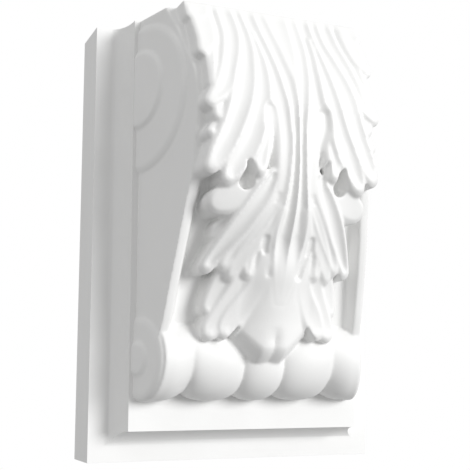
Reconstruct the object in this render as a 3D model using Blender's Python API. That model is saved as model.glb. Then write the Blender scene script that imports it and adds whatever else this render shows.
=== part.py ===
"""A cast acanthus corbel: one piece, with its flat back on the wall at Y = 0 and its front towards -Y.

The casting is a moulded back plate with a scrolled bracket on it. An acanthus leaf hangs down the
bracket's front, and its tip curls over a roll of beads at the foot. Metres, +Z up.
"""

import bmesh
import bpy
import numpy as np

# Back plate and its moulding, which runs down both sides and along the foot
HEIGHT = 0.200
WIDTH = 0.140
PLATE_THICKNESS = 0.024
FILLET_WIDTH = 0.007
COVE_WIDTH = 0.007
COVE_DEPTH = 0.015
COVE_STEPS = 6

# Bracket: its width where it leaves the panel, how far it narrows forward, its reach, the raised bands
# along the edges of its front, and the rounding of those edges
BRACKET_HALF_WIDTH = 0.0532
BRACKET_TAPER = 0.27
BRACKET_REACH = 0.057
BAND_HEIGHT = 0.0055
BAND_FOOT = 0.0077
BAND_SLOPE_WIDTH = 0.0033
EDGE_ROUND = 0.0008

# Scrolls on the cheeks: how far below the top or from the foot, radius and rise of each soft step
SCROLL_CENTRE_DEPTH = 0.003
UPPER_SCROLLS = ((0.038, 0.0345, 0.0013), (0.034, 0.0195, 0.0026))
LOWER_SCROLLS = ((0.0186, 0.0010), (0.0092, 0.0020))
SCROLL_EDGE = 0.0030
SCROLL_ROOT = 0.004

# Roll across the foot: its beads, how quickly the outer seams flare out to the ends, and how much they
# deepen from the top to the underside
ROLL_RADIUS = 0.0183
ROLL_CENTRE_HEIGHT = 0.0452
ROLL_CENTRE_DEPTH = 0.0042
BEAD_SEAMS = (0.0095, 0.0335)
BEAD_NIP = 0.0042
ROLL_FLARE = 1.6
ROLL_END_INSET = 0.0003
SEAM_TOP = 0.35
SEAM_GAIN = 0.9

# Acanthus leaf: its size, its thickness, the slope of its walls and its hem, and the soft creases
LEAF_HALF_WIDTH = 0.044
LEAF_BACK = 0.013
LEAF_WALL_SLOPE = 3.0
LEAF_BEHIND_GROUND = 0.002
LEAF_LEAST = 0.001
LEAF_HEM = 0.0016
CREASE = 0.0005
HEM_SLOPE = 0.9
HOLLOW_END = 7
EYE_REACH = 0.005
TOP_EDGE = 0.004

# How far the carving is sunk in the panel
SUNK = 0.003

# How much taller plate and trim are made before the top is cut flat, and how close points become one
TOP_ALLOWANCE = 0.02
WELD = 1e-7

# Mesh fineness
CARVING_VOXEL = 0.0009
LEAF_CELL = 0.0008
CARVING_TRIANGLES = 10200

PANEL_DEPTH = PLATE_THICKNESS + COVE_DEPTH
LEAF_LENGTH = HEIGHT - ROLL_CENTRE_HEIGHT

# Leaf profile down the middle: share of the leaf's length down from the top, share of the reach out
LEAF_PROFILE = (
    (-0.03, 0.482), (0.0, 0.54), (0.08, 0.686), (0.15, 0.812), (0.24, 0.932), (0.32, 0.99), (0.39, 1.0),
    (0.46, 1.0), (0.59, 0.942), (0.74, 0.754), (0.84, 0.628), (0.90, 0.57), (0.94, 0.545), (0.98, 0.521),
    (1.02, 0.482), (1.06, 0.434),
)
# How far the leaf's edge lies behind its middle, as a share of the reach
LEAF_CROWN = (
    (0.0, 0.0), (0.08, 0.02), (0.20, 0.05), (0.40, 0.09), (0.52, 0.12), (0.66, 0.19), (0.75, 0.24),
    (0.88, 0.21), (1.06, 0.19),
)
# Ground that the leaf lies on, in the same shares
GROUND_PROFILE = (
    (-0.03, 0.318), (0.0, 0.367), (0.07, 0.511), (0.15, 0.632), (0.21, 0.733), (0.30, 0.791), (0.39, 0.772),
    (0.45, 0.729), (0.52, 0.656), (0.59, 0.56), (0.67, 0.473), (0.735, 0.41), (0.80, 0.352), (0.89, 0.28),
    (1.0, 0.145),
)
# Raised band along each edge of the ground: share of its full height
BAND_FADE = ((0.42, 0.0), (0.52, 0.6), (0.60, 1.0), (1.0, 1.0))

# Leaflets of one half. Each is a flute along its stations: across from the middle rib, in hundredths of
# the leaf's half width; down from the top, in hundredths of its length; and half width, in hundredths
# of the leaf's. Then its lift at root and tip and its hollow at root and tip, or its swell where that
# is below 0, all in hundredths of the bracket's reach.
LEAFLETS = {
    "shoulder tooth": (((84, -4, 10), (85, 2, 10), (90.5, 4.5, 4.5)), (0, 1, 1, 1)),
    "second tooth": (((83, -4, 9), (82.5, 6.5, 9), (83.5, 13, 7.5), (88.5, 17, 3.5)), (0, 1, 0.5, 0.5)),
    "second flute": (((69.5, -4, 6), (69, 6.5, 6), (71.5, 13, 6.5), (75.5, 19.5, 5.5), (79.5, 26, 4),
        (81.5, 29, 2)), (0, 0.5, 3.5, 1.5)),
    "outer rim": (((82, 17, 3.5), (82, 23.5, 3), (83, 27.5, 2.5)), (-1, 0, 0.5, 0.5)),
    "third lobe": (((58, -4, 7), (56, 6.5, 8), (57, 11.5, 8), (65, 20, 7.5), (74, 27.5, 7.5),
        (86.5, 32.5, 4)), (0, 1, 3, 2)),
    "third lobe, lower": (((61.5, 24.5, 2.5), (68, 31, 7.5), (75, 35, 7.5), (78, 36, 4)),
        (-4, 1, 1.5, 1)),
    "fourth tooth": (((61.5, 33, 1), (72.5, 38, 5), (80.5, 40.5, 5), (84, 41, 3)), (-6, 0, 1, 1)),
    "main lobe": (((45, -4, 5.5), (42.5, 6.5, 5), (45.5, 16, 7.5), (52.5, 24.5, 10), (59, 32.5, 10),
        (67, 39.5, 9.5), (77.5, 46, 8.5), (85.5, 50, 4.5)), (0, 2, 2.5, 3.5)),
    "main lobe, lower": (((34, 8.5, 2), (34.5, 16, 4.5), (35, 20.5, 6.5), (37.5, 29, 8.5),
        (43.5, 36.5, 9.5), (53.5, 44.5, 11), (65, 50.5, 7.5), (69.5, 53, 3.5)), (0, 2, 2, 4)),
    "inner tooth": (((30.5, 33.5, 1), (33.5, 40.5, 3.5), (37, 44.5, 5), (39, 48, 5),
        (39.5, 50.5, 2.5)), (-2, 1, 0.5, 1.5)),
    "inner flute": (((32.5, -4, 7.5), (30, 6.5, 7.5), (26, 13, 5.5), (22, 20.5, 6.5), (20.5, 29, 8),
        (17, 34, 8), (14, 40.5, 7), (13.5, 48, 6.5), (15, 54.5, 5.5)), (0, -3, 3, 0)),
    "rib flute": (((19, -4, 5.5), (16, 8.5, 6.5), (12.5, 17.5, 6), (8, 25, 6.5), (5, 32.5, 5),
        (3.5, 41.5, 3.5), (4, 50.5, 4), (5.5, 58, 5.5), (7.5, 65, 7.5), (7, 71.5, 7), (5, 78, 5),
        (2.5, 84.5, 2)), (0, 0, 1.5, 7)),
    "rib crown": (((0, -4, 13), (0, 6.5, 10.5), (0, 13.5, 7), (0, 20.5, 2.5), (0, 26, 0.5)),
        (0, 0, 2, 0)),
    "middle upper": (((41, 51, 7), (50, 54.5, 10), (61.5, 57.5, 11), (70.5, 58.5, 9.5),
        (75, 59, 5.5)), (-5, -3, 0.5, 0.5)),
    "middle lower rim": (((50, 62, 4.5), (61.5, 65, 6), (66.5, 66.5, 3)), (-9, -12, 0.5, 0.5)),
    "middle outer flute": (((24, 51.5, 3.5), (33, 56.5, 7.5), (42.5, 61, 8), (52, 65.5, 8),
        (62.5, 70, 6.5), (71, 73.5, 4.5), (75, 75.5, 3.5)), (-3, 1, 3, 4)),
    "middle inner flute": (((15, 51.5, 2.5), (18.5, 57, 4), (28, 62.5, 5), (41.5, 68, 5),
        (52, 71.5, 5), (59.5, 75, 3)), (-3, 0, 1.5, 3)),
    "middle lower": (((19.5, 60, 3.5), (27.5, 65, 6.5), (36.5, 69.5, 7), (45.5, 73.5, 6),
        (51.5, 77.5, 2.5)), (-3, -0.5, 0.5, 1)),
    "middle curl": (((31, 68.5, 2), (36, 71.5, 3), (37.5, 74.5, 3), (36, 77, 2.5)), (-3, 0, 0.5, 1)),
    "middle ridge": (((13.5, 60.5, 2), (17, 66, 3.5), (20, 70.5, 5.5), (21, 75, 6.5), (22.5, 79, 7.5),
        (24, 82.5, 8)), (-1, -4, 0.5, -1)),
    "low upper": (((43, 75, 10), (53.5, 79, 10), (60, 82.5, 8), (63.5, 85.5, 7), (66.5, 86.5, 3.5)),
        (-6, -2, 1, 1)),
    "low middle": (((32, 75, 9), (40, 80, 8), (47.5, 84.5, 8.5), (55, 88.5, 9), (61.5, 91.5, 7.5),
        (64.5, 93, 4.5)), (-4, 0, 1, 1)),
    "low inner": (((18, 75, 9), (25, 80, 7.5), (32.5, 84, 8), (41.5, 88, 9), (47.5, 91, 8),
        (50, 92.5, 5)), (-3, 0, 1, 1)),
}
# Eyes and pockets sunk between the leaflets: the same stations, then the depth on the left and on the
# right half, in hundredths of the reach, and the slope of the wall
EYES = {
    "upper eye": (((28.5, 33.5, 4), (27.5, 37, 5), (25, 40.5, 3.5), (22.5, 44.5, 2)), 3.5, 6, 1.3),
    "upper pocket": (((32.5, 47, 0), (29.5, 49.5, 2.5), (28.5, 52.5, 2.5)), 1.5, 7, 4),
    "side pocket": (((50.5, 48.5, 0), (48.5, 50.5, 2.5), (49.5, 53.5, 6)), 15, 15, 9),
    "lower eye": (((24.5, 68, 2.5), (24.5, 70, 2.5), (22.5, 71.5, 1.5)), 4.5, 5, 2.2),
    "lower groove": (((23, 70.5, 1), (21, 73, 2), (18, 75.5, 2), (16.5, 77.5, 1.5)), 1.2, 3.5, 1.4),
    "curl pocket": (((32.5, 72.5, 0.5), (33, 74.5, 1), (32.5, 77, 0.5)), 2, 2, 1.5),
    "tip notch": (((37, 91.5, 0), (40.5, 93.5, 1.5), (44, 95.5, 3.5)), 12, 12, 8),
}
# Thin blade of the leaf behind the flutes beside the rib
BLADE_HALF_WIDTH = 0.0125
BLADE_DROP = 0.0055
BLADE_END = 0.80
# Curled tip: half width, how far its sides fall back, how softly it grows out of the leaflets, its two
# noses and its corners, the hollow between the noses, and how sharply it turns under
TIP_HALF_WIDTH = 0.0175
TIP_RIDGE = 0.0014
TIP_FALL = 0.0058
TIP_BLEND = 0.0035
TIP_NOSE = 0.0055
TIP_CORNER = 0.0157
TIP_HOLLOW = 0.0018
TIP_NARROWING = 0.5
TIP_START_RADIUS = 0.060
TIP_UNDER_SLOPE = 0.22
TIP_UNDER_RADIUS = 0.0095
# The same tip, in shares of the leaf's length: where it starts and rounds off, and where it turns under
# at the noses and at its corners
TIP_START = 0.80
TIP_ROUND = 0.912
TIP_POINT = 0.969
TIP_SHOULDER = 0.914


def smooth(at, stations):
    """The smooth curve through the stations, read at these places and flat beyond its ends."""
    place, value = np.array(stations, float).T
    slope = np.gradient(value, place)
    at = np.clip(at, place[0], place[-1])
    i = np.clip(np.searchsorted(place, at) - 1, 0, len(place) - 2)
    step = place[i + 1] - place[i]
    t = (at - place[i]) / step
    rise = value[i + 1] - value[i]
    bend = slope[i] * step * (1 - t) - slope[i + 1] * step * t + rise * (2 * t - 1)
    return value[i] + rise * t + t * (1 - t) * bend


def half_width_at(depth):
    """Half the bracket's width at this distance from the wall."""
    return BRACKET_HALF_WIDTH - BRACKET_TAPER * (depth - PANEL_DEPTH)


def path_points(stations, count=48):
    """Points along the smooth path through these stations of the leaf, with half widths, in metres."""
    t = np.linspace(0, 1, count)
    knots = np.linspace(0, 1, len(stations))
    across, down, half = (smooth(t, list(zip(knots, column))) / 100 for column in zip(*stations))
    return t, across * LEAF_HALF_WIDTH, down * LEAF_LENGTH, half * LEAF_HALF_WIDTH


def stroke(x, down, stations):
    """For each point: its share along the path, and how far it lies from it, and the half width there."""
    t, px, pd, half = path_points(stations)
    near = np.full(x.shape, np.inf)
    along = np.zeros(x.shape)
    width = np.full(x.shape, half[0])
    for i in range(len(t) - 1):
        ax, ad = px[i + 1] - px[i], pd[i + 1] - pd[i]
        s = np.clip(((x - px[i]) * ax + (down - pd[i]) * ad) / (ax * ax + ad * ad), 0, 1)
        here = half[i] + (half[i + 1] - half[i]) * s
        away = np.hypot(x - px[i] - s * ax, down - pd[i] - s * ad)
        closer = away - here < near - width
        near = np.where(closer, away, near)
        width = np.where(closer, here, width)
        along = np.where(closer, t[i] + (t[i + 1] - t[i]) * s, along)
    return along, near, width


def fluted(near, width, hollow):
    """A hollow flute between raised edges, which slope away over the hem and then drop."""
    inside = np.minimum(near / width, 1)
    beyond = near - width
    hem = -HEM_SLOPE * np.clip(beyond, 0, LEAF_HEM)
    return hollow * (inside ** 2 - 1) + hem - LEAF_WALL_SLOPE * np.maximum(beyond - LEAF_HEM, 0)


def soft_max(a, b, blend=CREASE):
    """The higher of two heights, with the crease between them rounded."""
    share = np.clip(0.5 + 0.5 * (a - b) / blend, 0, 1)
    return b + (a - b) * share + blend * share * (1 - share) / 2


def curled_tip(x, down):
    """The leaf's tip: height and outline. Its front ends in two noses, below which it turns under."""
    past = np.maximum(down - TIP_ROUND * LEAF_LENGTH, 0)
    short = np.maximum(TIP_START * LEAF_LENGTH - down, 0)
    outline = TIP_HALF_WIDTH - np.hypot(x, past + TIP_NARROWING * short)
    between = np.clip(1 - x / TIP_NOSE, 0, 1)
    corner = np.clip((x - TIP_NOSE) / (TIP_CORNER - TIP_NOSE), 0, 1)
    edge = TIP_POINT - (TIP_POINT - TIP_SHOULDER) * corner
    under = np.maximum(down - edge * LEAF_LENGTH, 0)
    face = TIP_RIDGE - TIP_FALL * (x / TIP_HALF_WIDTH) ** 2 - short ** 2 / TIP_START_RADIUS
    face = face - TIP_HOLLOW * between ** 2 * np.clip(past / TIP_NOSE, 0, 1)
    face = face - TIP_UNDER_SLOPE * under - under ** 2 / TIP_UNDER_RADIUS
    return face + LEAF_WALL_SLOPE * np.minimum(outline, 0), outline


def leaf_relief(x, down):
    """Height of the carved leaf above its own profile, and its outline: above 0 inside, below 0 outside."""
    left = x < 0
    x = np.abs(x)
    relief = np.full(x.shape, -1.0)
    outline = np.full(x.shape, -1.0)
    for stations, lifts in LEAFLETS.values():
        along, near, width = stroke(x, down, stations)
        root_lift, tip_lift, root_hollow, tip_hollow = np.array(lifts) / 100 * BRACKET_REACH
        lift = root_lift + (tip_lift - root_lift) * along
        hollow = (root_hollow + (tip_hollow - root_hollow) * along) * (1 - along ** HOLLOW_END)
        relief = soft_max(relief, lift + fluted(near, width, hollow))
        outline = np.maximum(outline, width + LEAF_HEM - near)
    below_end = np.maximum(down - BLADE_END * LEAF_LENGTH, 0)
    blade = BLADE_HALF_WIDTH - np.hypot(x, below_end)
    relief = np.maximum(relief, -BLADE_DROP + LEAF_WALL_SLOPE * np.minimum(blade, 0))
    relief = relief * np.where(relief > -BLADE_DROP, np.clip(down / TOP_EDGE, 0, 1), 1)
    tip, tip_outline = curled_tip(x, down)
    relief = soft_max(relief, tip, TIP_BLEND)
    outline = np.maximum(np.maximum(outline, blade), tip_outline)
    for stations, left_depth, right_depth, slope in EYES.values():
        along, near, width = stroke(x, down, stations)
        depth = np.where(left, left_depth, right_depth) / 100 * BRACKET_REACH
        pit = slope * np.maximum(near - width, 0) - depth
        relief = np.where(near < width + EYE_REACH, np.minimum(relief, pit), relief)
    return relief, outline


def leaf_front(x, down):
    """Distance of the leaf's carved front from the wall, and its outline."""
    share = down / LEAF_LENGTH
    middle = PANEL_DEPTH + BRACKET_REACH * smooth(share, LEAF_PROFILE)
    crown = BRACKET_REACH * smooth(share, LEAF_CROWN) * (x / LEAF_HALF_WIDTH) ** 2
    relief, outline = leaf_relief(x, down)
    return middle - crown + relief, outline


def ground_front(x, down):
    """Distance of the sunk ground, with the raised band along its edges, from the wall."""
    share = down / LEAF_LENGTH
    ground = PANEL_DEPTH + BRACKET_REACH * smooth(share, GROUND_PROFILE)
    from_edge = half_width_at(ground) - np.abs(x)
    edge = np.clip((BAND_FOOT - from_edge) / BAND_SLOPE_WIDTH, 0, 1)
    band = BAND_HEIGHT * smooth(share, BAND_FADE) * edge * edge * (3 - 2 * edge)
    return ground + band - EDGE_ROUND * np.clip(1 - from_edge / (2 * EDGE_ROUND), 0, 1) ** 2


def closed_mesh(name, points, faces):
    """A mesh from points and faces, with its normals turned outwards."""
    mesh = bpy.data.meshes.new(name)
    mesh.from_pydata([tuple(map(float, p)) for p in points], [], [tuple(map(int, f)) for f in faces])
    work = bmesh.new()
    work.from_mesh(mesh)
    bmesh.ops.remove_doubles(work, verts=work.verts, dist=WELD)
    bmesh.ops.recalc_face_normals(work, faces=work.faces)
    work.to_mesh(mesh)
    work.free()
    return mesh


def object_of(name, mesh):
    """The mesh as an object of the scene."""
    made = bpy.data.objects.new(name, mesh)
    bpy.context.scene.collection.objects.link(made)
    return made


def grid_faces(rows, columns, start=0, around=False):
    """Quads of a grid of points, joined round on itself where it goes round."""
    faces = []
    for r in range(rows - 1):
        for c in range(columns if around else columns - 1):
            n = (c + 1) % columns
            faces.append((
                start + r * columns + c, start + r * columns + n,
                start + (r + 1) * columns + n, start + (r + 1) * columns + c,
            ))
    return faces


def moulded_plate():
    """The back plate, its cove and the raised panel, as mitred outlines one in front of the other."""
    profile = [(0, 0), (0, PLATE_THICKNESS)]
    for i in range(COVE_STEPS + 1):
        turn = np.pi / 2 * i / COVE_STEPS
        inset = FILLET_WIDTH + COVE_WIDTH * np.sin(turn)
        profile.append((inset, PLATE_THICKNESS + COVE_DEPTH * (1 - np.cos(turn))))
    points = []
    for inset, depth in profile:
        side = WIDTH / 2 - inset
        top = HEIGHT + TOP_ALLOWANCE
        points += [(-side, -depth, inset), (side, -depth, inset), (side, -depth, top), (-side, -depth, top)]
    faces = grid_faces(len(profile), 4, around=True)
    last = 4 * (len(profile) - 1)
    faces += [(0, 1, 2, 3), (last, last + 1, last + 2, last + 3)]
    return object_of("plate", closed_mesh("plate", points, faces))


def bracket_body():
    """The bracket behind the leaf: narrowing cheeks, sunk ground and raised bands."""
    rows = np.linspace(-0.03, 1.0, 120) * LEAF_LENGTH
    columns = np.linspace(-1, 1, 91)
    columns = np.sign(columns) * np.abs(columns) ** 0.8
    back = PANEL_DEPTH - SUNK
    points = []
    for down in rows:
        depth = PANEL_DEPTH + BRACKET_REACH * smooth(down / LEAF_LENGTH, GROUND_PROFILE)
        x = columns * half_width_at(depth)
        front = ground_front(x, np.full(x.shape, down))
        x = np.where(np.abs(columns) > 0.999, np.sign(columns) * half_width_at(front), x)
        points += [(a, -d, HEIGHT - down) for a, d in zip(x, front)]
    for down in rows:
        x = columns * half_width_at(back)
        points += [(a, -back, HEIGHT - down) for a in x]
    r, c = len(rows), len(columns)
    faces = grid_faces(r, c) + grid_faces(r, c, start=r * c)
    rim = [i for i in range(c)] + [i * c + c - 1 for i in range(1, r)]
    rim += [(r - 1) * c + i for i in range(c - 2, -1, -1)] + [i * c for i in range(r - 2, 0, -1)]
    faces += [(a, b, b + r * c, a + r * c) for a, b in zip(rim, rim[1:] + rim[:1])]
    return object_of("bracket", closed_mesh("bracket", points, faces))


def leaf_body():
    """The leaf as a thick sheet: its carved front, a plain back and its cut outline."""
    rows = np.arange(-0.03 * LEAF_LENGTH, 1.06 * LEAF_LENGTH, LEAF_CELL)
    half = np.arange(0, 1.12 * LEAF_HALF_WIDTH, LEAF_CELL)
    columns = np.concatenate([-half[:0:-1], half])
    x, down = np.meshgrid(columns, rows)
    _, outline = leaf_front(x, down)
    slope_down, slope_x = np.gradient(outline, LEAF_CELL)
    steep = np.maximum(slope_x ** 2 + slope_down ** 2, 0.3)
    inside = outline > 0
    near_edge = ~inside & (outline > -1.5 * LEAF_CELL)
    keep = np.zeros(x.shape, bool)
    cell = inside[:-1, :-1] | inside[1:, :-1] | inside[:-1, 1:] | inside[1:, 1:]
    keep[:-1, :-1] |= cell
    keep[1:, :-1] |= cell
    keep[:-1, 1:] |= cell
    keep[1:, 1:] |= cell
    pull = np.where(keep & near_edge, outline / steep, 0)
    x = x - pull * slope_x
    down = down - pull * slope_down
    front, _ = leaf_front(x, down)
    share = down / LEAF_LENGTH
    middle = PANEL_DEPTH + BRACKET_REACH * smooth(share, LEAF_PROFILE)
    front = np.maximum(front, middle - LEAF_BACK + LEAF_LEAST)
    ground = PANEL_DEPTH + BRACKET_REACH * smooth(share, GROUND_PROFILE)
    back = np.minimum(middle - LEAF_BACK, ground - LEAF_BEHIND_GROUND)
    index = np.full(x.shape, -1)
    index[keep] = np.arange(keep.sum())
    count = int(keep.sum())
    points = [(a, -d, HEIGHT - b) for a, b, d in zip(x[keep], down[keep], front[keep])]
    points += [(a, -d, HEIGHT - b) for a, b, d in zip(x[keep], down[keep], back[keep])]
    faces = []
    edges = {}
    for r, c in zip(*np.nonzero(cell)):
        quad = (index[r, c], index[r, c + 1], index[r + 1, c + 1], index[r + 1, c])
        faces.append(quad)
        faces.append(tuple(i + count for i in reversed(quad)))
        for a, b in zip(quad, quad[1:] + quad[:1]):
            if edges.pop((b, a), None) is None:
                edges[(a, b)] = True
    faces += [(b, a, a + count, b + count) for a, b in edges]
    return object_of("leaf", closed_mesh("leaf", points, faces))


def bead_radius(x, turn):
    """Radius of the roll: round beads, nipped between. The outer seams fade out towards the top."""
    x = abs(x)
    inner, outer = BEAD_SEAMS
    if x > outer:
        across = (x - outer) / (BRACKET_HALF_WIDTH - outer)
        return ROLL_RADIUS - BEAD_NIP * seam_depth(turn) * max(0.0, 1 - ROLL_FLARE * across) ** 2
    left = inner if x > inner else -inner
    right = outer if x > inner else inner
    across = (x - (left + right) / 2) / ((right - left) / 2)
    nip = BEAD_NIP * (1 - np.sqrt(max(0.0, 1 - across ** 2)))
    return ROLL_RADIUS - nip * (seam_depth(turn) if x > (inner + outer) / 2 else 1.0)


def seam_depth(turn):
    """Share of the outer seams' depth at this turn about the roll: none at the top, all underneath."""
    return float(np.clip(SEAM_TOP - SEAM_GAIN * np.sin(turn), 0, 1))


def foot_roll():
    """The roll across the foot, turned about a line across the panel; its ends follow the cheeks."""
    stations = np.linspace(-1, 1, 181)
    turns = np.linspace(0, 2 * np.pi, 72, endpoint=False)
    points = []
    for u in stations:
        for turn in turns:
            radius = bead_radius(u * BRACKET_HALF_WIDTH, turn)
            depth = PANEL_DEPTH + ROLL_CENTRE_DEPTH + radius * np.cos(turn)
            depth = max(depth, PANEL_DEPTH - SUNK)
            lean = half_width_at(depth) - BRACKET_HALF_WIDTH - ROLL_END_INSET
            x = u * BRACKET_HALF_WIDTH + np.sign(u) * lean * np.abs(u) ** 6
            points.append((x, -depth, ROLL_CENTRE_HEIGHT + radius * np.sin(turn)))
    faces = grid_faces(len(stations), len(turns), around=True)
    last = (len(stations) - 1) * len(turns)
    faces += [tuple(range(len(turns))), tuple(range(last, last + len(turns)))]
    return object_of("roll", closed_mesh("roll", points, faces))


def scroll_disc(side, height, radius, rise):
    """One soft raised disc on a cheek, cut off just behind the panel's face."""
    turns = np.linspace(0, 2 * np.pi, 72, endpoint=False)
    edge = SCROLL_EDGE / radius
    rings = [(1.0, -SCROLL_ROOT), (1.0, -1.5 * rise), (1.0 - 0.3 * edge, 0.45 * rise), (1.0 - edge, rise)]
    points = []
    for share, out in rings:
        for turn in turns:
            depth = PANEL_DEPTH + SCROLL_CENTRE_DEPTH + radius * share * np.cos(turn)
            depth = max(depth, PANEL_DEPTH - SUNK)
            x = side * (half_width_at(depth) + out)
            points.append((x, -depth, height + radius * share * np.sin(turn)))
    faces = grid_faces(4, len(turns), around=True)
    faces += [tuple(range(len(turns))), tuple(range(3 * len(turns), 4 * len(turns)))]
    return object_of("scroll", closed_mesh("scroll", points, faces))


def evaluated_copy(name, source):
    """The object's mesh with its modifiers worked in, as a new object; the old one goes."""
    graph = bpy.context.evaluated_depsgraph_get()
    mesh = bpy.data.meshes.new_from_object(source.evaluated_get(graph))
    made = object_of(name, mesh)
    bpy.data.objects.remove(source)
    return made


def carved_mass(voxel, triangles):
    """Bracket, leaf, roll and scrolls grown together into one closed surface of this fineness."""
    pieces = [bracket_body(), leaf_body(), foot_roll()]
    for side in (-1, 1):
        pieces += [scroll_disc(side, HEIGHT - drop, radius, rise) for drop, radius, rise in UPPER_SCROLLS]
        pieces += [scroll_disc(side, ROLL_CENTRE_HEIGHT, radius, rise) for radius, rise in LOWER_SCROLLS]
    work = bmesh.new()
    for piece in pieces:
        work.from_mesh(piece.data)
        bpy.data.objects.remove(piece)
    mesh = bpy.data.meshes.new("carving")
    work.to_mesh(mesh)
    work.free()
    carving = object_of("carving_parts", mesh)
    remesh = carving.modifiers.new("grow together", "REMESH")
    remesh.mode = "VOXEL"
    remesh.voxel_size = voxel
    soften = carving.modifiers.new("soften", "SMOOTH")
    soften.factor = 0.5
    soften.iterations = 2
    carving = evaluated_copy("carving_fine", carving)
    thin = carving.modifiers.new("thin", "DECIMATE")
    thin.ratio = min(1, triangles / (2 * len(carving.data.polygons)))
    thin.use_symmetry = True
    thin.symmetry_axis = "X"
    return evaluated_copy("carving", carving)


def trim_block():
    """What stands above the flat top and is cut away."""
    mesh = bpy.data.meshes.new("trim")
    work = bmesh.new()
    bmesh.ops.create_cube(work, size=1)
    bmesh.ops.scale(work, vec=(2 * WIDTH, 2 * WIDTH, HEIGHT), verts=work.verts)
    bmesh.ops.translate(work, vec=(0, 0, 1.5 * HEIGHT), verts=work.verts)
    work.to_mesh(mesh)
    work.free()
    return object_of("trim", mesh)


def cast_material():
    """White cast polymer, matt to satin."""
    material = bpy.data.materials.new("white casting")
    material.use_nodes = True
    shader = material.node_tree.nodes["Principled BSDF"]
    shader.inputs["Base Color"].default_value = (0.86, 0.86, 0.85, 1)
    shader.inputs["Roughness"].default_value = 0.55
    shader.inputs["Metallic"].default_value = 0.0
    return material


def corbel():
    """The whole casting, with its origin at the middle of its back."""
    plate = moulded_plate()
    carving = carved_mass(CARVING_VOXEL, CARVING_TRIANGLES)
    trim = trim_block()
    for operation, other in (("UNION", carving), ("DIFFERENCE", trim)):
        join = plate.modifiers.new(operation.lower(), "BOOLEAN")
        join.operation = operation
        join.object = other
        join.solver = "MANIFOLD"
    whole = evaluated_copy("corbel", plate)
    for helper in (carving, trim):
        bpy.data.objects.remove(helper)
    for vertex in whole.data.vertices:
        vertex.co.z -= HEIGHT / 2
    whole.data.materials.clear()
    whole.data.materials.append(cast_material())
    whole.data.shade_smooth()
    whole.data.set_sharp_from_angle(angle=np.radians(40))
    return whole


for old in list(bpy.data.objects):
    bpy.data.objects.remove(old)
corbel()
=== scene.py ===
import bmesh
import bpy
import numpy as np
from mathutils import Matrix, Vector


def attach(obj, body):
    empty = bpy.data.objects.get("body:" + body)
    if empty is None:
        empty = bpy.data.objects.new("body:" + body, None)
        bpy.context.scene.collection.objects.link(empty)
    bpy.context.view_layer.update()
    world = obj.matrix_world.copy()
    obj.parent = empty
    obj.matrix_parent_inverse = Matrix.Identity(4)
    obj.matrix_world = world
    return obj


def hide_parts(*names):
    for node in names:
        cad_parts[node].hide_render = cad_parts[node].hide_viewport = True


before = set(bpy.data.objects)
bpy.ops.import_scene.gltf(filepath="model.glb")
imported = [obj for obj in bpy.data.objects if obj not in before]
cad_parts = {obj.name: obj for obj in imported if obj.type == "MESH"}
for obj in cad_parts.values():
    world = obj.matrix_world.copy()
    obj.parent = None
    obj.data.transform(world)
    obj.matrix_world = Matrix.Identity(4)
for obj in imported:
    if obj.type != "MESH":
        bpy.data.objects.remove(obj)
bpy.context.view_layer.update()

# Back plate
# The plate that lies flat on the wall, 24 mm thick, with a raised panel on it. A cove runs down both
# sides of the panel and along its foot. It is cast in one with the carving, of white rigid polymer.

HEIGHT = 0.200
WIDTH = 0.140
PLATE_THICKNESS = 0.024
FILLET_WIDTH = 0.007
COVE_WIDTH = 0.007
COVE_DEPTH = 0.015
COVE_STEPS = 20
PANEL_DEPTH = PLATE_THICKNESS + COVE_DEPTH
TOP_ALLOWANCE = 0.0002
WELD = 1e-7
PLATE_ROUND = 0.0015
ROUND_STEPS = 4
SHARP_ANGLE = np.radians(50)


def closed_mesh(name, points, faces):
    """A mesh from points and faces, with its normals turned outwards."""
    mesh = bpy.data.meshes.new(name)
    mesh.from_pydata([tuple(map(float, p)) for p in points], [], [tuple(map(int, f)) for f in faces])
    work = bmesh.new()
    work.from_mesh(mesh)
    bmesh.ops.remove_doubles(work, verts=work.verts, dist=WELD)
    bmesh.ops.recalc_face_normals(work, faces=work.faces)
    work.to_mesh(mesh)
    work.free()
    return mesh


def object_of(name, mesh):
    """The mesh as an object of the scene."""
    made = bpy.data.objects.new(name, mesh)
    bpy.context.scene.collection.objects.link(made)
    return made


def grid_faces(rows, columns, start=0, around=False):
    """Quads of a grid of points, joined round on itself where it goes round."""
    faces = []
    for r in range(rows - 1):
        for c in range(columns if around else columns - 1):
            n = (c + 1) % columns
            faces.append((
                start + r * columns + c, start + r * columns + n,
                start + (r + 1) * columns + n, start + (r + 1) * columns + c,
            ))
    return faces


def evaluated_copy(name, source):
    """The object's mesh with its modifiers worked in, as a new object; the old one goes."""
    graph = bpy.context.evaluated_depsgraph_get()
    mesh = bpy.data.meshes.new_from_object(source.evaluated_get(graph))
    made = object_of(name, mesh)
    bpy.data.objects.remove(source)
    return made


def moulded_plate():
    """The back plate, its cove and the raised panel, as mitred outlines one in front of the other."""
    profile = [(0, 0), (0, PLATE_THICKNESS)]
    for i in range(COVE_STEPS + 1):
        turn = np.pi / 2 * i / COVE_STEPS
        inset = FILLET_WIDTH + COVE_WIDTH * np.sin(turn)
        profile.append((inset, PLATE_THICKNESS + COVE_DEPTH * (1 - np.cos(turn))))
    points = []
    for inset, depth in profile:
        side = WIDTH / 2 - inset
        top = HEIGHT + TOP_ALLOWANCE
        points += [(-side, -depth, inset), (side, -depth, inset), (side, -depth, top), (-side, -depth, top)]
    faces = grid_faces(len(profile), 4, around=True)
    last = 4 * (len(profile) - 1)
    faces += [(0, 1, 2, 3), (last, last + 1, last + 2, last + 3)]
    return object_of("plate", closed_mesh("plate", points, faces))


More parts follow.
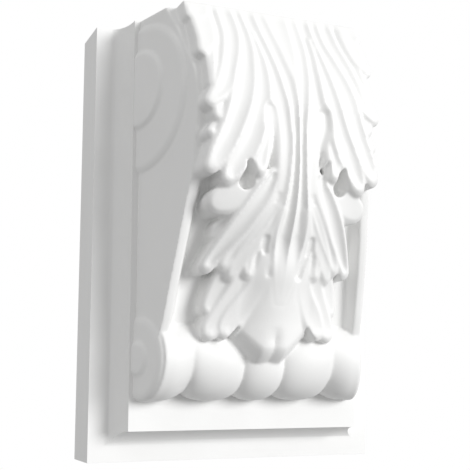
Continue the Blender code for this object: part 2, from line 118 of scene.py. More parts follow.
def rounded(name, made):
    """The object with its sharp edges rounded."""
    round_off = made.modifiers.new("round off", "BEVEL")
    round_off.width = PLATE_ROUND
    round_off.segments = ROUND_STEPS
    round_off.limit_method = "ANGLE"
    round_off.angle_limit = SHARP_ANGLE
    return evaluated_copy(name, made)


plate = rounded("plate_rounded", moulded_plate())


# Bracket
# The body that stands out from the panel: two cheeks that narrow forward, a sunk ground between them
# under the leaf, and a raised band along each edge. The same casting, smoothed by its mould.

# The reach is a hair under the solid's own, so that the finer crests stay inside its box
BRACKET_REACH = 0.05675
BRACKET_ROWS = 300
BRACKET_COLUMNS = 221
# Below 1 the columns crowd towards the edges, where the raised bands are
COLUMN_CROWDING = 0.8
BRACKET_HALF_WIDTH = 0.0532
BRACKET_TAPER = 0.27
BAND_HEIGHT = 0.0055
BAND_FOOT = 0.0077
BAND_SLOPE_WIDTH = 0.0033
SUNK = 0.003
EDGE_ROUND = 0.0010
ROLL_CENTRE_HEIGHT = 0.0452
LEAF_LENGTH = HEIGHT - ROLL_CENTRE_HEIGHT
TOP_SHARE = -TOP_ALLOWANCE / LEAF_LENGTH
# Share of the leaf's length down from the top, and share of the reach out from the panel
GROUND_PROFILE = (
    (-0.03, 0.318), (0.0, 0.367), (0.07, 0.511), (0.15, 0.632), (0.21, 0.733), (0.30, 0.791), (0.39, 0.772),
    (0.45, 0.729), (0.52, 0.656), (0.59, 0.56), (0.67, 0.473), (0.735, 0.41), (0.80, 0.352), (0.89, 0.28),
    (1.0, 0.145),
)
# The same place down, and the share of the band's full height
BAND_FADE = ((0.42, 0.0), (0.52, 0.6), (0.60, 1.0), (1.0, 1.0))


def smooth(at, stations):
    """The smooth curve through the stations, read at these places and flat beyond its ends."""
    place, value = np.array(stations, float).T
    slope = np.gradient(value, place)
    at = np.clip(at, place[0], place[-1])
    i = np.clip(np.searchsorted(place, at) - 1, 0, len(place) - 2)
    step = place[i + 1] - place[i]
    t = (at - place[i]) / step
    rise = value[i + 1] - value[i]
    bend = slope[i] * step * (1 - t) - slope[i + 1] * step * t + rise * (2 * t - 1)
    return value[i] + rise * t + t * (1 - t) * bend


def half_width_at(depth):
    """Half the bracket's width at this distance from the wall."""
    return BRACKET_HALF_WIDTH - BRACKET_TAPER * (depth - PANEL_DEPTH)


def ground_front(x, down):
    """Distance of the sunk ground, with the raised band along its edges, from the wall."""
    share = down / LEAF_LENGTH
    ground = PANEL_DEPTH + BRACKET_REACH * smooth(share, GROUND_PROFILE)
    from_edge = half_width_at(ground) - np.abs(x)
    edge = np.clip((BAND_FOOT - from_edge) / BAND_SLOPE_WIDTH, 0, 1)
    band = BAND_HEIGHT * smooth(share, BAND_FADE) * edge * edge * (3 - 2 * edge)
    return ground + band - EDGE_ROUND * np.clip(1 - from_edge / (2 * EDGE_ROUND), 0, 1) ** 2


def bracket_body():
    """The bracket behind the leaf: narrowing cheeks, sunk ground and raised bands."""
    rows = np.linspace(TOP_SHARE, 1.0, BRACKET_ROWS) * LEAF_LENGTH
    columns = np.linspace(-1, 1, BRACKET_COLUMNS)
    columns = np.sign(columns) * np.abs(columns) ** COLUMN_CROWDING
    back = PANEL_DEPTH - SUNK
    points = []
    for down in rows:
        depth = PANEL_DEPTH + BRACKET_REACH * smooth(down / LEAF_LENGTH, GROUND_PROFILE)
        x = columns * half_width_at(depth)
        front = ground_front(x, np.full(x.shape, down))
        x = np.where(np.abs(columns) > 0.999, np.sign(columns) * half_width_at(front), x)
        points += [(a, -d, HEIGHT - down) for a, d in zip(x, front)]
    for down in rows:
        x = columns * half_width_at(back)
        points += [(a, -back, HEIGHT - down) for a in x]
    r, c = len(rows), len(columns)
    faces = grid_faces(r, c) + grid_faces(r, c, start=r * c)
    rim = list(range(c)) + [i * c + c - 1 for i in range(1, r)]
    rim += [(r - 1) * c + i for i in range(c - 2, -1, -1)] + [i * c for i in range(r - 2, 0, -1)]
    faces += [(a, b, b + r * c, a + r * c) for a, b in zip(rim, rim[1:] + rim[:1])]
    return object_of("bracket", closed_mesh("bracket", points, faces))


bracket = bracket_body()


# Acanthus leaf
# A broad leaf hangs down the bracket's front, its rib in the middle. Each half has three groups of
# lobes that overlap downwards, with flutes between sharp ridges and eyes sunk between the groups.

LEAF_HALF_WIDTH = 0.044
LEAF_BACK = 0.013
LEAF_WALL_SLOPE = 3.0
LEAF_BEHIND_GROUND = 0.002
LEAF_LEAST = 0.001
LEAF_HEM = 0.0016
CREASE = 0.0005
HEM_SLOPE = 0.9
HOLLOW_END = 7
EYE_REACH = 0.005
TOP_EDGE = 0.004
LEAF_CELL = 0.0004
PATH_POINTS = 48
# How far the worked sheet reaches past the leaf's foot and sides before its outline is cut
SHEET_END = 1.06
SHEET_SIDE = 1.12
LEAST_STEEPNESS = 0.3
# Profile down the middle, and how far the edge lies behind the middle, in shares as for the ground
LEAF_PROFILE = (
    (-0.03, 0.482), (0.0, 0.54), (0.08, 0.686), (0.15, 0.812), (0.24, 0.932), (0.32, 0.99), (0.39, 1.0),
    (0.46, 1.0), (0.59, 0.942), (0.74, 0.754), (0.84, 0.628), (0.90, 0.57), (0.94, 0.545), (0.98, 0.521),
    (1.02, 0.482), (1.06, 0.434),
)
LEAF_CROWN = (
    (0.0, 0.0), (0.08, 0.02), (0.20, 0.05), (0.40, 0.09), (0.52, 0.12), (0.66, 0.19), (0.75, 0.24),
    (0.88, 0.21), (1.06, 0.19),
)
# One half's leaflets. Stations: hundredths of the half width across, of the length down, and half
# width. Then the lift at root and tip and the hollow at root and tip, in hundredths of the reach.
LEAFLETS = {
    "shoulder tooth": (((84, -4, 10), (85, 2, 10), (90.5, 4.5, 4.5)), (0, 1, 1, 1)),
    "second tooth": (((83, -4, 9), (82.5, 6.5, 9), (83.5, 13, 7.5), (88.5, 17, 3.5)), (0, 1, 0.5, 0.5)),
    "second flute": (((69.5, -4, 6), (69, 6.5, 6), (71.5, 13, 6.5), (75.5, 19.5, 5.5), (79.5, 26, 4),
        (81.5, 29, 2)), (0, 0.5, 3.5, 1.5)),
    "outer rim": (((82, 17, 3.5), (82, 23.5, 3), (83, 27.5, 2.5)), (-1, 0, 0.5, 0.5)),
    "third lobe": (((58, -4, 7), (56, 6.5, 8), (57, 11.5, 8), (65, 20, 7.5), (74, 27.5, 7.5),
        (86.5, 32.5, 4)), (0, 1, 3, 2)),
    "third lobe, lower": (((61.5, 24.5, 2.5), (68, 31, 7.5), (75, 35, 7.5), (78, 36, 4)),
        (-4, 1, 1.5, 1)),
    "fourth tooth": (((61.5, 33, 1), (72.5, 38, 5), (80.5, 40.5, 5), (84, 41, 3)), (-6, 0, 1, 1)),
    "main lobe": (((45, -4, 5.5), (42.5, 6.5, 5), (45.5, 16, 7.5), (52.5, 24.5, 10), (59, 32.5, 10),
        (67, 39.5, 9.5), (77.5, 46, 8.5), (85.5, 50, 4.5)), (0, 2, 2.5, 3.5)),
    "main lobe, lower": (((34, 8.5, 2), (34.5, 16, 4.5), (35, 20.5, 6.5), (37.5, 29, 8.5),
        (43.5, 36.5, 9.5), (53.5, 44.5, 11), (65, 50.5, 7.5), (69.5, 53, 3.5)), (0, 2, 2, 4)),
    "inner tooth": (((30.5, 33.5, 1), (33.5, 40.5, 3.5), (37, 44.5, 5), (39, 48, 5),
        (39.5, 50.5, 2.5)), (-2, 1, 0.5, 1.5)),
    "inner flute": (((32.5, -4, 7.5), (30, 6.5, 7.5), (26, 13, 5.5), (22, 20.5, 6.5), (20.5, 29, 8),
        (17, 34, 8), (14, 40.5, 7), (13.5, 48, 6.5), (15, 54.5, 5.5)), (0, -3, 3, 0)),
    "rib flute": (((19, -4, 5.5), (16, 8.5, 6.5), (12.5, 17.5, 6), (8, 25, 6.5), (5, 32.5, 5),
        (3.5, 41.5, 3.5), (4, 50.5, 4), (5.5, 58, 5.5), (7.5, 65, 7.5), (7, 71.5, 7), (5, 78, 5),
        (2.5, 84.5, 2)), (0, 0, 1.5, 7)),
    "rib crown": (((0, -4, 13), (0, 6.5, 10.5), (0, 13.5, 7), (0, 20.5, 2.5), (0, 26, 0.5)),
        (0, 0, 2, 0)),
    "middle upper": (((41, 51, 7), (50, 54.5, 10), (61.5, 57.5, 11), (70.5, 58.5, 9.5),
        (75, 59, 5.5)), (-5, -3, 0.5, 0.5)),
    "middle lower rim": (((50, 62, 4.5), (61.5, 65, 6), (66.5, 66.5, 3)), (-9, -12, 0.5, 0.5)),
    "middle outer flute": (((24, 51.5, 3.5), (33, 56.5, 7.5), (42.5, 61, 8), (52, 65.5, 8),
        (62.5, 70, 6.5), (71, 73.5, 4.5), (75, 75.5, 3.5)), (-3, 1, 3, 4)),
    "middle inner flute": (((15, 51.5, 2.5), (18.5, 57, 4), (28, 62.5, 5), (41.5, 68, 5),
        (52, 71.5, 5), (59.5, 75, 3)), (-3, 0, 1.5, 3)),
    "middle lower": (((19.5, 60, 3.5), (27.5, 65, 6.5), (36.5, 69.5, 7), (45.5, 73.5, 6),
        (51.5, 77.5, 2.5)), (-3, -0.5, 0.5, 1)),
    "middle curl": (((31, 68.5, 2), (36, 71.5, 3), (37.5, 74.5, 3), (36, 77, 2.5)), (-3, 0, 0.5, 1)),
    "middle ridge": (((13.5, 60.5, 2), (17, 66, 3.5), (20, 70.5, 5.5), (21, 75, 6.5), (22.5, 79, 7.5),
        (24, 82.5, 8)), (-1, -4, 0.5, -1)),
    "low upper": (((43, 75, 10), (53.5, 79, 10), (60, 82.5, 8), (63.5, 85.5, 7), (66.5, 86.5, 3.5)),
        (-6, -2, 1, 1)),
    "low middle": (((32, 75, 9), (40, 80, 8), (47.5, 84.5, 8.5), (55, 88.5, 9), (61.5, 91.5, 7.5),
        (64.5, 93, 4.5)), (-4, 0, 1, 1)),
    "low inner": (((18, 75, 9), (25, 80, 7.5), (32.5, 84, 8), (41.5, 88, 9), (47.5, 91, 8),
        (50, 92.5, 5)), (-3, 0, 1, 1)),
}
# Eyes and pockets between the leaflets: the same stations, then the depth on the left and right half,
# and the slope of the wall
EYES = {
    "upper eye": (((28.5, 33.5, 4), (27.5, 37, 5), (25, 40.5, 3.5), (22.5, 44.5, 2)), 3.5, 6, 1.3),
    "upper pocket": (((32.5, 47, 0), (29.5, 49.5, 2.5), (28.5, 52.5, 2.5)), 1.5, 7, 4),
    "side pocket": (((50.5, 48.5, 0), (48.5, 50.5, 2.5), (49.5, 53.5, 6)), 15, 15, 9),
    "lower eye": (((24.5, 68, 2.5), (24.5, 70, 2.5), (22.5, 71.5, 1.5)), 4.5, 5, 2.2),
    "lower groove": (((23, 70.5, 1), (21, 73, 2), (18, 75.5, 2), (16.5, 77.5, 1.5)), 1.2, 3.5, 1.4),
    "curl pocket": (((32.5, 72.5, 0.5), (33, 74.5, 1), (32.5, 77, 0.5)), 2, 2, 1.5),
    "tip notch": (((37, 91.5, 0), (40.5, 93.5, 1.5), (44, 95.5, 3.5)), 12, 12, 8),
}
# Thin blade behind the flutes beside the rib
BLADE_HALF_WIDTH = 0.0125
BLADE_DROP = 0.0055
BLADE_END = 0.80
# Curled tip: sizes in metres, then where it starts, rounds off and turns under, as shares of the length
TIP_HALF_WIDTH = 0.0175
TIP_RIDGE = 0.0014
TIP_FALL = 0.0058
TIP_BLEND = 0.0035
TIP_NOSE = 0.0055
TIP_CORNER = 0.0157
TIP_HOLLOW = 0.0018
TIP_NARROWING = 0.5
TIP_START_RADIUS = 0.060
TIP_UNDER_SLOPE = 0.22
TIP_UNDER_RADIUS = 0.0095
TIP_START = 0.80
TIP_ROUND = 0.912
TIP_POINT = 0.969
TIP_SHOULDER = 0.914


def path_points(stations):
    """Points along the smooth path through these stations of the leaf, with half widths, in metres."""
    t = np.linspace(0, 1, PATH_POINTS)
    knots = np.linspace(0, 1, len(stations))
    across, down, half = (smooth(t, list(zip(knots, column))) / 100 for column in zip(*stations))
    return t, across * LEAF_HALF_WIDTH, down * LEAF_LENGTH, half * LEAF_HALF_WIDTH


def stroke(x, down, stations):
    """For each point: its share along the path, and how far it lies from it, and the half width there."""
    t, px, pd, half = path_points(stations)
    near = np.full(x.shape, np.inf)
    along = np.zeros(x.shape)
    width = np.full(x.shape, half[0])
    for i in range(len(t) - 1):
        ax, ad = px[i + 1] - px[i], pd[i + 1] - pd[i]
        s = np.clip(((x - px[i]) * ax + (down - pd[i]) * ad) / (ax * ax + ad * ad), 0, 1)
        here = half[i] + (half[i + 1] - half[i]) * s
        away = np.hypot(x - px[i] - s * ax, down - pd[i] - s * ad)
        closer = away - here < near - width
        near = np.where(closer, away, near)
        width = np.where(closer, here, width)
        along = np.where(closer, t[i] + (t[i + 1] - t[i]) * s, along)
    return along, near, width


def fluted(near, width, hollow):
    """A hollow flute between raised edges, which slope away over the hem and then drop."""
    inside = np.minimum(near / width, 1)
    beyond = near - width
    hem = -HEM_SLOPE * np.clip(beyond, 0, LEAF_HEM)
    return hollow * (inside ** 2 - 1) + hem - LEAF_WALL_SLOPE * np.maximum(beyond - LEAF_HEM, 0)


def soft_max(a, b, blend=CREASE):
    """The higher of two heights, with the crease between them rounded."""
    share = np.clip(0.5 + 0.5 * (a - b) / blend, 0, 1)
    return b + (a - b) * share + blend * share * (1 - share) / 2


def curled_tip(x, down):
    """The leaf's tip: height and outline. Its front ends in two noses, below which it turns under."""
    past = np.maximum(down - TIP_ROUND * LEAF_LENGTH, 0)
    short = np.maximum(TIP_START * LEAF_LENGTH - down, 0)
    outline = TIP_HALF_WIDTH - np.hypot(x, past + TIP_NARROWING * short)
    between = np.clip(1 - x / TIP_NOSE, 0, 1)
    corner = np.clip((x - TIP_NOSE) / (TIP_CORNER - TIP_NOSE), 0, 1)
    edge = TIP_POINT - (TIP_POINT - TIP_SHOULDER) * corner
    under = np.maximum(down - edge * LEAF_LENGTH, 0)
    face = TIP_RIDGE - TIP_FALL * (x / TIP_HALF_WIDTH) ** 2 - short ** 2 / TIP_START_RADIUS
    face = face - TIP_HOLLOW * between ** 2 * np.clip(past / TIP_NOSE, 0, 1)
    face = face - TIP_UNDER_SLOPE * under - under ** 2 / TIP_UNDER_RADIUS
    return face + LEAF_WALL_SLOPE * np.minimum(outline, 0), outline


def leaf_relief(x, down):
    """Height of the carved leaf above its own profile, and its outline: above 0 inside, below 0 outside."""
    left = x < 0
    x = np.abs(x)
    relief = np.full(x.shape, -1.0)
    outline = np.full(x.shape, -1.0)
    for stations, lifts in LEAFLETS.values():
        along, near, width = stroke(x, down, stations)
        root_lift, tip_lift, root_hollow, tip_hollow = np.array(lifts) / 100 * BRACKET_REACH
        lift = root_lift + (tip_lift - root_lift) * along
        hollow = (root_hollow + (tip_hollow - root_hollow) * along) * (1 - along ** HOLLOW_END)
        relief = soft_max(relief, lift + fluted(near, width, hollow))
        outline = np.maximum(outline, width + LEAF_HEM - near)
    below_end = np.maximum(down - BLADE_END * LEAF_LENGTH, 0)
    blade = BLADE_HALF_WIDTH - np.hypot(x, below_end)
    relief = np.maximum(relief, -BLADE_DROP + LEAF_WALL_SLOPE * np.minimum(blade, 0))
    relief = relief * np.where(relief > -BLADE_DROP, np.clip(down / TOP_EDGE, 0, 1), 1)
    tip, tip_outline = curled_tip(x, down)
    relief = soft_max(relief, tip, TIP_BLEND)
    outline = np.maximum(np.maximum(outline, blade), tip_outline)
    for stations, left_depth, right_depth, slope in EYES.values():
        along, near, width = stroke(x, down, stations)
        depth = np.where(left, left_depth, right_depth) / 100 * BRACKET_REACH
        pit = slope * np.maximum(near - width, 0) - depth
        relief = np.where(near < width + EYE_REACH, np.minimum(relief, pit), relief)
    return relief, outline


def leaf_front(x, down):
    """Distance of the leaf's carved front from the wall, and its outline."""
    share = down / LEAF_LENGTH
    middle = PANEL_DEPTH + BRACKET_REACH * smooth(share, LEAF_PROFILE)
    crown = BRACKET_REACH * smooth(share, LEAF_CROWN) * (x / LEAF_HALF_WIDTH) ** 2
    relief, outline = leaf_relief(x, down)
    return middle - crown + relief, outline


def leaf_body():
    """The leaf as a thick sheet: its carved front, a plain back and its cut outline."""
    rows = np.arange(TOP_SHARE * LEAF_LENGTH, SHEET_END * LEAF_LENGTH, LEAF_CELL)
    half = np.arange(0, SHEET_SIDE * LEAF_HALF_WIDTH, LEAF_CELL)
    columns = np.concatenate([-half[:0:-1], half])
    x, down = np.meshgrid(columns, rows)
    _, outline = leaf_front(x, down)
    slope_down, slope_x = np.gradient(outline, LEAF_CELL)
    steep = np.maximum(slope_x ** 2 + slope_down ** 2, LEAST_STEEPNESS)
    inside = outline > 0
    near_edge = ~inside & (outline > -1.5 * LEAF_CELL)
    keep = np.zeros(x.shape, bool)
    cell = inside[:-1, :-1] | inside[1:, :-1] | inside[:-1, 1:] | inside[1:, 1:]
    keep[:-1, :-1] |= cell
    keep[1:, :-1] |= cell
    keep[:-1, 1:] |= cell
    keep[1:, 1:] |= cell
    pull = np.where(keep & near_edge, outline / steep, 0)
    x = x - pull * slope_x
    down = down - pull * slope_down
    front, _ = leaf_front(x, down)
    share = down / LEAF_LENGTH
    middle = PANEL_DEPTH + BRACKET_REACH * smooth(share, LEAF_PROFILE)
    front = np.maximum(front, middle - LEAF_BACK + LEAF_LEAST)
    ground = PANEL_DEPTH + BRACKET_REACH * smooth(share, GROUND_PROFILE)
    back = np.minimum(middle - LEAF_BACK, ground - LEAF_BEHIND_GROUND)
    index = np.full(x.shape, -1)
    index[keep] = np.arange(keep.sum())
    count = int(keep.sum())
    points = [(a, -d, HEIGHT - b) for a, b, d in zip(x[keep], down[keep], front[keep])]
    points += [(a, -d, HEIGHT - b) for a, b, d in zip(x[keep], down[keep], back[keep])]
    faces = []
    edges = {}
    for r, c in zip(*np.nonzero(cell)):
        quad = (index[r, c], index[r, c + 1], index[r + 1, c + 1], index[r + 1, c])
        faces.append(quad)
        faces.append(tuple(i + count for i in reversed(quad)))
        for a, b in zip(quad, quad[1:] + quad[:1]):
            if edges.pop((b, a), None) is None:
                edges[(a, b)] = True
    faces += [(b, a, a + count, b + count) for a, b in edges]
    return object_of("leaf", closed_mesh("leaf", points, faces))


leaf = leaf_body()


# Beaded roll
# A round moulding across the foot, on which the leaf's tip rests. Turned beads meet in nipped seams;
# at each end it runs out over the scroll of the cheek.

ROLL_RADIUS = 0.0183
ROLL_CENTRE_DEPTH = 0.0042
BEAD_SEAMS = (0.0095, 0.0335)
BEAD_NIP = 0.0042
ROLL_FLARE = 1.6
ROLL_END_INSET = 0.0003
SEAM_TOP = 0.35
SEAM_GAIN = 0.9
ROLL_STATIONS = 361
ROLL_TURNS = 161
ROLL_LEAN_POWER = 6.0
# Finish: the two tones of its cloudy skin, then the scales of cloud, grain and pinholes per metre
PALE_TONE = (0.87, 0.87, 0.865, 1)
GREY_TONE = (0.83, 0.83, 0.822, 1)
CLOUD_SCALE = 38.0
GRAIN_SCALE = 1400.0
PINHOLE_SCALE = 260.0
PINHOLE_SHARPNESS = 14.0
PINHOLE_SHARE = 0.58
GRAIN_HEIGHT = 0.3
PINHOLE_HEIGHT = 0.5
SKIN_STRENGTH = 0.15
LEAST_ROUGHNESS = 0.46
ROUGHNESS_SPREAD = 0.16
SKIN_DEPTH = 0.0004


class Socket:
    """A node's output that takes part in sums: each sum adds one Math node to its tree."""

    def __init__(self, tree, link):
        self.tree = tree
        self.link = link

    def math(self, operation, *terms):
        return add_node(self.tree, "ShaderNodeMath", {"operation": operation}, *terms)

    def __add__(self, other):
        return self.math("ADD", self, other)

    def __radd__(self, other):
        return self.math("ADD", other, self)

    def __sub__(self, other):
        return self.math("SUBTRACT", self, other)

    def __rsub__(self, other):
        return self.math("SUBTRACT", other, self)

    def __mul__(self, other):
        return self.math("MULTIPLY", self, other)

    def __rmul__(self, other):
        return self.math("MULTIPLY", other, self)

    def __truediv__(self, other):
        return self.math("DIVIDE", self, other)

    def clamp(self):
        return self.math("MINIMUM", self.math("MAXIMUM", self, 0.0), 1.0)


def add_node(tree, kind, settings, *values, output=0, **named):
    """Adds a node: settings first, then values or links for its inputs by place or by name."""
    node = tree.nodes.new(kind)
    for key, value in settings.items():
        setattr(node, key, value)
    by_name = {}
    for entry in reversed(node.inputs):
        by_name[entry.name.replace(" ", "_")] = entry
        by_name[entry.identifier] = entry
    given = list(zip(node.inputs, values)) + [(by_name[key], value) for key, value in named.items()]
    for entry, value in given:
        if isinstance(value, Socket):
            tree.links.new(value.link, entry)
        else:
            entry.default_value = value
    return Socket(tree, node.outputs[output]) if node.outputs else None


def white_casting():
    """White cast polymer straight from the mould: matt to satin, faintly uneven, with a fine grain."""
    material = bpy.data.materials.new("white_casting")
    material.use_nodes = True
    tree = material.node_tree
    shader = tree.nodes["Principled BSDF"]
    place = add_node(tree, "ShaderNodeTexCoord", {}, output=3)
    cloud = add_node(tree, "ShaderNodeTexNoise", {}, Vector=place, Scale=CLOUD_SCALE, Detail=3.0)
    grain = add_node(tree, "ShaderNodeTexNoise", {}, Vector=place, Scale=GRAIN_SCALE, Detail=2.0)
    cell = add_node(tree, "ShaderNodeTexVoronoi", {}, Vector=place, Scale=PINHOLE_SCALE)
    pinhole = (1 - cell * PINHOLE_SHARPNESS).clamp() * cloud.math("GREATER_THAN", cloud, PINHOLE_SHARE)
    tone = add_node(
        tree, "ShaderNodeMix", {"data_type": "RGBA"}, cloud.clamp(),
        A_Color=PALE_TONE, B_Color=GREY_TONE, output=2,
    )
    tree.links.new(tone.link, shader.inputs["Base Color"])
    rough = cloud * ROUGHNESS_SPREAD + LEAST_ROUGHNESS
    tree.links.new(rough.link, shader.inputs["Roughness"])
    height = cloud + grain * GRAIN_HEIGHT - pinhole * PINHOLE_HEIGHT
    bump = add_node(tree, "ShaderNodeBump", {}, Strength=SKIN_STRENGTH, Distance=SKIN_DEPTH, Height=height)
    tree.links.new(bump.link, shader.inputs["Normal"])
    return material


def roll_tree(sizes):
    """A sheet of points rolled up round a line across the foot; its radius swells at each bead."""
    tree = bpy.data.node_groups.new("beaded_roll", "GeometryNodeTree")
    for name in sizes:
        tree.interface.new_socket(name, in_out="INPUT", socket_type="NodeSocketFloat")
    tree.interface.new_socket("Geometry", in_out="OUTPUT", socket_type="NodeSocketGeometry")
    entry = tree.nodes.new("NodeGroupInput")
    size = {name: Socket(tree, entry.outputs[name]) for name in sizes}
    sheet = add_node(
        tree, "GeometryNodeMeshGrid", {}, Size_X=2.0, Size_Y=2 * np.pi,
        Vertices_X=ROLL_STATIONS, Vertices_Y=ROLL_TURNS,
    )
    place = add_node(tree, "GeometryNodeInputPosition", {})
    along = add_node(tree, "ShaderNodeSeparateXYZ", {}, place)
    turn = add_node(tree, "ShaderNodeSeparateXYZ", {}, place, output=1)
    from_middle = along.math("ABSOLUTE", along)
    x = from_middle * size["Half width"]
    seams = (SEAM_TOP - SEAM_GAIN * turn.math("SINE", turn)).clamp()
    outer = x.math("GREATER_THAN", x, size["Outer seam"])
    second = x.math("GREATER_THAN", x, size["Inner seam"])
    left = second * size["Inner seam"] - (1 - second) * size["Inner seam"]
    right = second * size["Outer seam"] + (1 - second) * size["Inner seam"]
    across = (2 * x - left - right) / (right - left)
    arch = across.math("SQRT", (1 - across * across).clamp())
    faded = x.math("GREATER_THAN", x, (size["Inner seam"] + size["Outer seam"]) / 2)
    bead_nip = (1 - arch) * (faded * seams + (1 - faded))
    past = (x - size["Outer seam"]) / (size["Half width"] - size["Outer seam"])
    flare = (1 - ROLL_FLARE * past).clamp()
    end_nip = flare * flare * seams
    nip = outer * end_nip + (1 - outer) * bead_nip
    open_end = 1 - from_middle.math("GREATER_THAN", from_middle, 1 - 1 / ROLL_STATIONS)
    radius = (size["Radius"] - size["Nip"] * nip) * open_end
    depth = size["Depth"] + radius * turn.math("COSINE", turn)
    depth = depth.math("MAXIMUM", depth, PANEL_DEPTH - SUNK)
    lean = (PANEL_DEPTH - depth) * BRACKET_TAPER - ROLL_END_INSET
    lean = lean * from_middle.math("POWER", from_middle, ROLL_LEAN_POWER)
    side = along * size["Half width"] + along.math("SIGN", along) * lean
    height = size["Height"] + radius * turn.math("SINE", turn)
    point = add_node(tree, "ShaderNodeCombineXYZ", {}, side, 0 - depth, height)
    rolled = add_node(tree, "GeometryNodeSetPosition", {}, Geometry=sheet, Position=point)
    welded = add_node(tree, "GeometryNodeMergeByDistance", {}, Geometry=rolled, Distance=10 * WELD)
    real = add_node(tree, "GeometryNodeRealizeInstances", {}, Geometry=welded)
    coated = add_node(tree, "GeometryNodeSetMaterial", {}, Geometry=real, Material=casting_finish)
    add_node(tree, "NodeGroupOutput", {}, coated)
    return tree


def foot_roll():
    """The beaded roll across the foot, made by its node tree from its named sizes."""
    sizes = {
        "Radius": ROLL_RADIUS,
        "Half width": BRACKET_HALF_WIDTH,
        "Depth": PANEL_DEPTH + ROLL_CENTRE_DEPTH,
        "Height": ROLL_CENTRE_HEIGHT,
        "Inner seam": BEAD_SEAMS[0],
        "Outer seam": BEAD_SEAMS[1],
        "Nip": BEAD_NIP,
    }
    tree = roll_tree(sizes)
    made = object_of("roll_source", bpy.data.meshes.new("roll_source"))
    beads = made.modifiers.new("beads", "NODES")
    beads.node_group = tree
    for item in tree.interface.items_tree:
        if item.in_out == "INPUT":
            beads[item.identifier] = sizes[item.name]
    return evaluated_copy("roll", made)


casting_finish = white_casting()
roll = foot_roll()


# Scrolls
# Flat discs in soft steps on both cheeks: a large one near the top, a small one on the roll's end.
# They stand 1 to 3 mm proud of the cheek, with rounded edges.

SCROLL_CENTRE_DEPTH = 0.003
UPPER_SCROLLS = ((0.038, 0.0345, 0.0013), (0.034, 0.0195, 0.0026))
LOWER_SCROLLS = ((0.0186, 0.0010), (0.0092, 0.0020))
SCROLL_EDGE = 0.0030
SCROLL_ROOT = 0.004
SCROLL_TURNS = 160


def scroll_disc(side, height, radius, rise):
    """One soft raised disc on a cheek, cut off just behind the panel's face."""
    turns = np.linspace(0, 2 * np.pi, SCROLL_TURNS, endpoint=False)
    edge = SCROLL_EDGE / radius
    # Share of the radius and height over the cheek, from the sunk root to the rim of the flat top
    rings = [(1.0, -SCROLL_ROOT), (1.0, -1.5 * rise), (1.0 - 0.3 * edge, 0.45 * rise), (1.0 - edge, rise)]
    points = []
    for share, out in rings:
        for turn in turns:
            depth = PANEL_DEPTH + SCROLL_CENTRE_DEPTH + radius * share * np.cos(turn)
            depth = max(depth, PANEL_DEPTH - SUNK)
            x = side * (half_width_at(depth) + out)
            points.append((x, -depth, height + radius * share * np.sin(turn)))
    faces = grid_faces(4, len(turns), around=True)
    faces += [tuple(range(len(turns))), tuple(range(3 * len(turns), 4 * len(turns)))]
    return object_of("scroll", closed_mesh("scroll", points, faces))


scrolls = []
for side in (-1, 1):
    scrolls += [scroll_disc(side, HEIGHT - drop, radius, rise) for drop, radius, rise in UPPER_SCROLLS]
    scrolls += [scroll_disc(side, ROLL_CENTRE_HEIGHT, radius, rise) for radius, rise in LOWER_SCROLLS]


# The casting
# All of it comes out of one mould: the carving and the plate grow into one body, cut flat on top
# where the shelf or cornice above sits on it.

CARVING_VOXEL = 0.00048
CARVING_TRIANGLES = 172000
SOFTENING_ROUNDS = 14


def trim_block():
    """What stands above the flat top and is cut away."""
    mesh = bpy.data.meshes.new("trim")
    work = bmesh.new()
    bmesh.ops.create_cube(work, size=1)
    bmesh.ops.scale(work, vec=(2 * WIDTH, 2 * WIDTH, HEIGHT), verts=work.verts)
    bmesh.ops.translate(work, vec=(0, 0, 1.5 * HEIGHT), verts=work.verts)
    work.to_mesh(mesh)
    work.free()
    return object_of("trim", mesh)


def grown_together(pieces, voxel, triangles):
    """The pieces as one closed surface of this fineness, smoothed as a mould smooths them."""
    work = bmesh.new()
    for piece in pieces:
        work.from_mesh(piece.data)
        bpy.data.objects.remove(piece)
    mesh = bpy.data.meshes.new("carving")
    work.to_mesh(mesh)
    work.free()
    carving = object_of("carving_parts", mesh)
    remesh = carving.modifiers.new("grow together", "REMESH")
    remesh.mode = "VOXEL"
    remesh.voxel_size = voxel
    soften = carving.modifiers.new("soften", "SMOOTH")
    soften.factor = 0.5
    soften.iterations = SOFTENING_ROUNDS
    carving = evaluated_copy("carving_fine", carving)
    thin = carving.modifiers.new("thin", "DECIMATE")
    thin.ratio = min(1, triangles / (2 * len(carving.data.polygons)))
    return evaluated_copy("carving", carving)


carving = grown_together([bracket, leaf, roll, *scrolls], CARVING_VOXEL, CARVING_TRIANGLES)
trim = trim_block()
for operation, other in (("UNION", carving), ("DIFFERENCE", trim)):
    join = plate.modifiers.new(operation.lower(), "BOOLEAN")
    join.operation = operation
    join.object = other
    join.solver = "MANIFOLD"
casting = evaluated_copy("casting_joined", plate)
for helper in (carving, trim):
    bpy.data.objects.remove(helper)
for vertex in casting.data.vertices:
    vertex.co.z -= HEIGHT / 2

casting.data.shade_smooth()
casting.data.set_sharp_from_angle(angle=SHARP_ANGLE)
even = casting.modifiers.new("even normals", "WEIGHTED_NORMAL")
even.keep_sharp = True
casting = evaluated_copy("corbel_casting", casting)
casting.name = "corbel_casting"

casting.data.materials.clear()
casting.data.materials.append(casting_finish)
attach(casting, "root")
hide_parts("corbel")


# Studio
# A plain pale floor well below the corbel, a white surround and two broad soft lights from the front:
# the main one from the right, a weaker one high on the left. The camera stands low on the left.

FLOOR_LEVEL = -0.36
FLOOR_RADIUS = 2.2
FLOOR_TONE = 0.45
PAPER_ROUGHNESS = 0.9
KEY_STRENGTH = 2.35
SIDE_STRENGTH = 0.4
SURROUND_STRENGTH = 0.555
KEY_WIDTH = 24
SIDE_WIDTH = 20

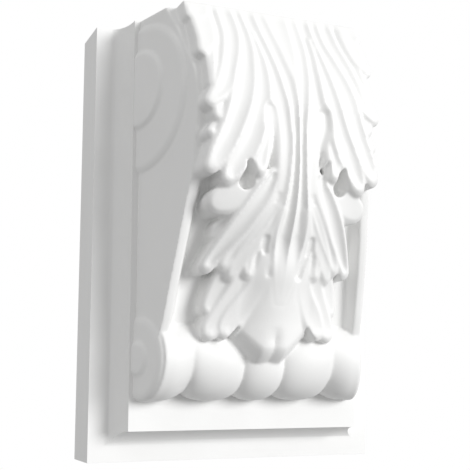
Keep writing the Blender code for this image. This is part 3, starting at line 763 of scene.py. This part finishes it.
turns = np.linspace(0, 2 * np.pi, 96, endpoint=False)
rim = [(FLOOR_RADIUS * np.cos(t), FLOOR_RADIUS * np.sin(t), FLOOR_LEVEL) for t in turns]
floor_mesh = bpy.data.meshes.new("floor")
floor_mesh.from_pydata(rim, [], [tuple(range(len(rim)))])
floor = object_of("floor", floor_mesh)
floor_finish = bpy.data.materials.new("floor_paper")
floor_finish.use_nodes = True
paper = floor_finish.node_tree.nodes["Principled BSDF"]
paper.inputs["Base Color"].default_value = (FLOOR_TONE, FLOOR_TONE, FLOOR_TONE, 1)
paper.inputs["Roughness"].default_value = PAPER_ROUGHNESS
floor.data.materials.append(floor_finish)

world = bpy.data.worlds.new("surround")
bpy.context.scene.world = world
world.use_nodes = True
sky = world.node_tree
seen = add_node(sky, "ShaderNodeLightPath", {})
strength = seen * (1 - SURROUND_STRENGTH) + SURROUND_STRENGTH
background = sky.nodes["Background"]
background.inputs["Color"].default_value = (1, 1, 1, 1)
sky.links.new(strength.link, background.inputs["Strength"])


def soft_sun(name, towards, strength, width):
    """A distant light from this direction, as broad as this many degrees."""
    light = bpy.data.lights.new(name, "SUN")
    light.energy = strength
    light.angle = np.radians(width)
    lamp = bpy.data.objects.new(name, light)
    bpy.context.scene.collection.objects.link(lamp)
    lamp.rotation_mode = "QUATERNION"
    lamp.rotation_quaternion = Vector(towards).to_track_quat("Z", "Y")


soft_sun("main_light", (0.64, -1, 0.27), KEY_STRENGTH, KEY_WIDTH)
soft_sun("side_light", (-1, -0.2, 1.0), SIDE_STRENGTH, SIDE_WIDTH)

CAMERA_AZIMUTH = np.radians(-22.69)
CAMERA_ELEVATION = np.radians(-8.71)
CAMERA_DISTANCE = 0.4263
CAMERA_TARGET = Vector((-0.0106, -0.050, 0.0010))
FRAME_PIXELS = 470
FOCAL_PIXELS = 941
SENSOR_WIDTH = 36

lens = bpy.data.cameras.new("camera")
lens.sensor_width = SENSOR_WIDTH
lens.lens = FOCAL_PIXELS / FRAME_PIXELS * SENSOR_WIDTH
lens.clip_start = 0.01
lens.clip_end = 20
camera = bpy.data.objects.new("camera", lens)
bpy.context.scene.collection.objects.link(camera)
back = Vector((
    np.sin(CAMERA_AZIMUTH) * np.cos(CAMERA_ELEVATION),
    -np.cos(CAMERA_AZIMUTH) * np.cos(CAMERA_ELEVATION),
    np.sin(CAMERA_ELEVATION),
))
camera.location = CAMERA_TARGET + back * CAMERA_DISTANCE
camera.rotation_mode = "QUATERNION"
camera.rotation_quaternion = (-back).to_track_quat("-Z", "Y")
bpy.context.scene.camera = camera
bpy.context.scene.view_settings.view_transform = "Standard"
